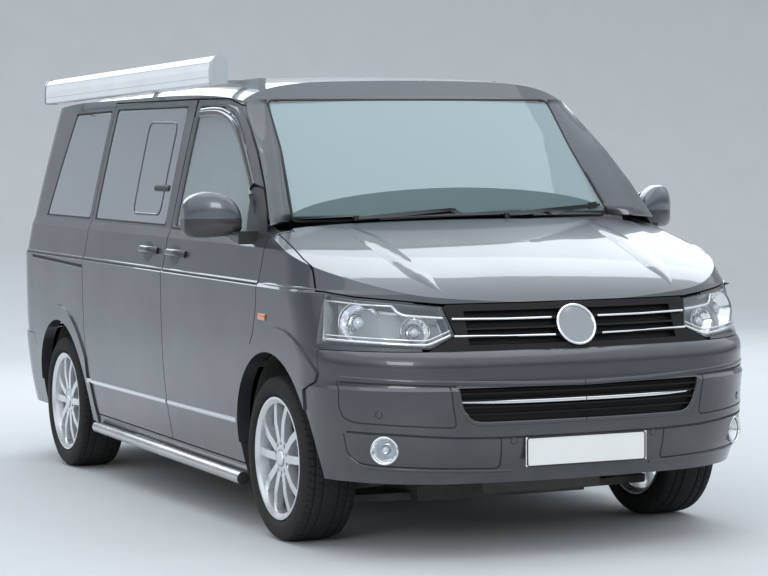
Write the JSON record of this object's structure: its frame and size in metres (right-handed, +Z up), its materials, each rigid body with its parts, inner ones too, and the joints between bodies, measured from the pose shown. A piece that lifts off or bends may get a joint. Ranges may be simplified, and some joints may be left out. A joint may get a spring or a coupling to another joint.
{
  "type": "camper van",
  "caption": "Camper van with opening front doors, bonnet and tailgate, steered front wheels, rolled-up side awning and a hollow cabin.",
  "frame": {"origin": "on the ground, mid-length and mid-width", "axes": "+X forward, +Y to the vehicle's left, +Z up"},
  "size_m": [4.8928, 2.2962, 1.988],
  "materials": {
    "paint": "mid-grey metallic paint, clear coat",
    "dark_trim": "black grained plastic",
    "lamp_clear": "clear lens",
    "lamp_red": "red lens",
    "screen_glass": "pale green laminated glass",
    "privacy_glass": "dark tinted glass",
    "polished_steel": "polished stainless tube",
    "tyre": "black rubber",
    "alloy": "silver lacquered cast alloy",
    "running_gear": "black painted iron",
    "awning_white": "white powder coat",
    "plate_white": "blank reflective plate",
    "seat_fabric": "grey woven cloth",
    "cabin_plastic": "grained plastic",
    "cabinet_board": "pale laminate board",
    "underseal": "black underseal"
  },
  "bodies": {
    "root": {"body_shell": "paint", "underbody": "underseal", "front_wing_left": "paint", "front_wing_right": "paint", "front_bumper": "paint", "upper_grille": "dark_trim", "lower_grille": "dark_trim", "headlamp_left": "lamp_clear", "headlamp_right": "lamp_clear", "fog_lamps": "lamp_clear", "front_plate": "plate_white", "windscreen": "screen_glass", "sliding_door_left": "paint", "sliding_door_right": "paint", "sliding_door_glass": "privacy_glass", "rear_side_glass": "privacy_glass", "rear_bumper": "paint", "tail_lamps": "lamp_red", "awning_case": "awning_white", "awning_rail": "dark_trim", "roof_rail": "alloy", "side_tubes": "polished_steel", "wipers": "dark_trim", "dashboard": "cabin_plastic", "steering_wheel": "cabin_plastic", "front_seats": "seat_fabric", "rear_bench": "seat_fabric", "cabinet": "cabinet_board", "engine_block": "running_gear", "front_suspension": "running_gear", "rear_axle": "running_gear", "exhaust": "polished_steel"},
    "bonnet": {"bonnet": "paint"},
    "tailgate": {"tailgate": "paint", "tailgate_glass": "privacy_glass", "rear_plate": "plate_white"},
    "front_door_left": {"front_door_left": "paint", "front_door_glass_left": "screen_glass", "mirror_left": "paint"},
    "front_door_right": {"front_door_right": "paint", "front_door_glass_right": "screen_glass", "mirror_right": "paint"},
    "knuckle_left": {"knuckle_left": "running_gear"},
    "knuckle_right": {"knuckle_right": "running_gear"},
    "wheel_front_left": {"tyre_front_left": "tyre", "rim_front_left": "alloy"},
    "wheel_front_right": {"tyre_front_right": "tyre", "rim_front_right": "alloy"},
    "wheel_rear_left": {"tyre_rear_left": "tyre", "rim_rear_left": "alloy"},
    "wheel_rear_right": {"tyre_rear_right": "tyre", "rim_rear_right": "alloy"}
  },
  "joints": [
    {"name": "bonnet_hinge", "type": "hinge", "parent": "root", "child": "bonnet", "pos_m": [1.41463, 0, 1.25], "axis": [0, -1, 0], "range_deg": [0, 58]},
    {"name": "tailgate_hinge", "type": "hinge", "parent": "root", "child": "tailgate", "pos_m": [-2.28257, 0, 1.86671], "axis": [0, 1, 0], "range_deg": [0, 80]},
    {"name": "front_door_left_hinge", "type": "hinge", "parent": "root", "child": "front_door_left", "pos_m": [1.41948, 0.952, 0.97455], "axis": [-0.0179, 0, -0.9998], "range_deg": [0, 68]},
    {"name": "front_door_right_hinge", "type": "hinge", "parent": "root", "child": "front_door_right", "pos_m": [1.41948, -0.952, 0.97455], "axis": [0.0179, 0, 0.9998], "range_deg": [0, 68]},
    {"name": "steering_left", "type": "hinge", "parent": "root", "child": "knuckle_left", "pos_m": [1.537, 0.73494, 0.1998], "axis": [0, -0.185, 0.9827], "range_deg": [-34, 34]},
    {"name": "steering_right", "type": "hinge", "parent": "root", "child": "knuckle_right", "pos_m": [1.537, -0.73494, 0.1998], "axis": [0, 0.185, 0.9827], "range_deg": [-34, 34]},
    {"name": "wheel_spin_front_left", "type": "hinge", "parent": "knuckle_left", "child": "wheel_front_left", "pos_m": [1.537, 0.814, 0.333], "axis": [0, 1, 0], "continuous": true},
    {"name": "wheel_spin_front_right", "type": "hinge", "parent": "knuckle_right", "child": "wheel_front_right", "pos_m": [1.537, -0.814, 0.333], "axis": [0, 1, 0], "continuous": true},
    {"name": "wheel_spin_rear_left", "type": "hinge", "parent": "root", "child": "wheel_rear_left", "pos_m": [-1.463, 0.814, 0.333], "axis": [0, 1, 0], "continuous": true},
    {"name": "wheel_spin_rear_right", "type": "hinge", "parent": "root", "child": "wheel_rear_right", "pos_m": [-1.463, -0.814, 0.333], "axis": [0, 1, 0], "continuous": true}
  ],
  "couplings": [
    {"joint": "steering_right", "follows": "steering_left", "ratio": 1}
  ]
}
